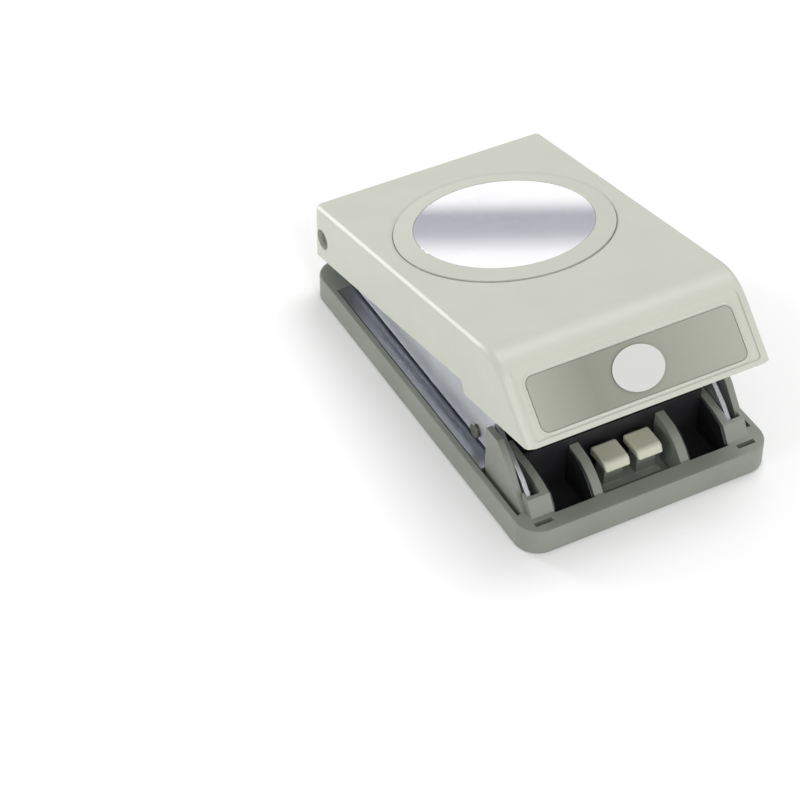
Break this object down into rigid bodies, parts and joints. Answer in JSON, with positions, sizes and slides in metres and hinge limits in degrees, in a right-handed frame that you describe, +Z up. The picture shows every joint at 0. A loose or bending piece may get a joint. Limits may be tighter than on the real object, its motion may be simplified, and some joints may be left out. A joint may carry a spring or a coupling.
{
  "type": "craft punch",
  "caption": "Lever-action paper punch: hinged cover with a round mirror inlay over a flat base, with steel die, sprung ram and storage lock hooks.",
  "frame": {"origin": "on the ground, under the middle of the base", "axes": "+Z up, +X to the right, -Y towards the front edge that is pressed, so the hinge is at +Y"},
  "size_m": [0.094, 0.154, 0.0633],
  "materials": {
    "cover_plastic": "light sage grey moulded plastic, fine satin texture",
    "base_plastic": "mid grey-green moulded plastic, fine satin texture",
    "black_plastic": "black moulded plastic",
    "label_plastic": "darker sage panel, smooth",
    "badge_plastic": "off-white badge, smooth",
    "hook_plastic": "cream moulded plastic",
    "mirror_foil": "polished mirror foil",
    "bright_steel": "bright rolled and ground steel",
    "dark_steel": "blackened steel, slightly olive",
    "nylon": "natural nylon"
  },
  "bodies": {
    "base": {"base_tray": "base_plastic", "die_plate": "bright_steel", "throat_spacer": "bright_steel", "guide_plate": "bright_steel", "punch_housing": "black_plastic", "front_liner": "black_plastic", "lock_retainer": "bright_steel", "left_arm": "bright_steel", "right_arm": "bright_steel", "arm_pin_left": "dark_steel", "arm_pin_right": "dark_steel", "frame_rivet_left_1": "dark_steel", "frame_rivet_left_2": "dark_steel", "frame_rivet_right_1": "dark_steel", "frame_rivet_right_2": "dark_steel", "die_screw_left": "bright_steel", "die_screw_right": "bright_steel", "retainer_screw_left": "bright_steel", "retainer_screw_right": "bright_steel", "frame_screw_1": "bright_steel", "frame_screw_2": "bright_steel", "frame_screw_3": "bright_steel", "frame_screw_4": "bright_steel", "return_spring_1": "bright_steel", "return_spring_2": "bright_steel", "return_spring_3": "bright_steel", "return_spring_4": "bright_steel"},
    "lock": {"lock_slider": "base_plastic", "lock_hook_left": "hook_plastic", "lock_hook_right": "hook_plastic"},
    "ram": {"punch_cutter": "bright_steel", "ram_plate": "dark_steel", "ram_pad": "nylon", "ram_screw_1": "bright_steel", "ram_screw_2": "bright_steel", "ram_screw_3": "bright_steel", "ram_screw_4": "bright_steel"},
    "lever": {"cover_shell": "cover_plastic", "indicator_ring": "cover_plastic", "indicator_disc": "mirror_foil", "label_panel": "label_plastic", "label_dot": "badge_plastic", "hinge_shaft": "dark_steel", "hinge_washer_left": "nylon", "hinge_washer_right": "nylon", "shaft_clip_left": "dark_steel", "shaft_clip_right": "dark_steel"}
  },
  "joints": [
    {"name": "lever_hinge", "type": "hinge", "parent": "base", "child": "lever", "pos_m": [0, 0.0704, 0.0264], "axis": [1, 0, 0], "range_deg": [0, 13], "stiffness_Nm_per_rad": 3, "springref_deg": -8.59},
    {"name": "ram_slide", "type": "slide", "parent": "base", "child": "ram", "axis": [0, 0, -1], "range_m": [0, 0.0117], "deforming": ["return_spring_1", "return_spring_2", "return_spring_3", "return_spring_4"]},
    {"name": "lock_slide", "type": "slide", "parent": "base", "child": "lock", "axis": [0, -1, 0], "range_m": [0, 0.0021]}
  ],
  "couplings": [
    {"joint": "ram_slide", "follows": "lever_hinge", "m_per_rad": 0.0509}
  ]
}
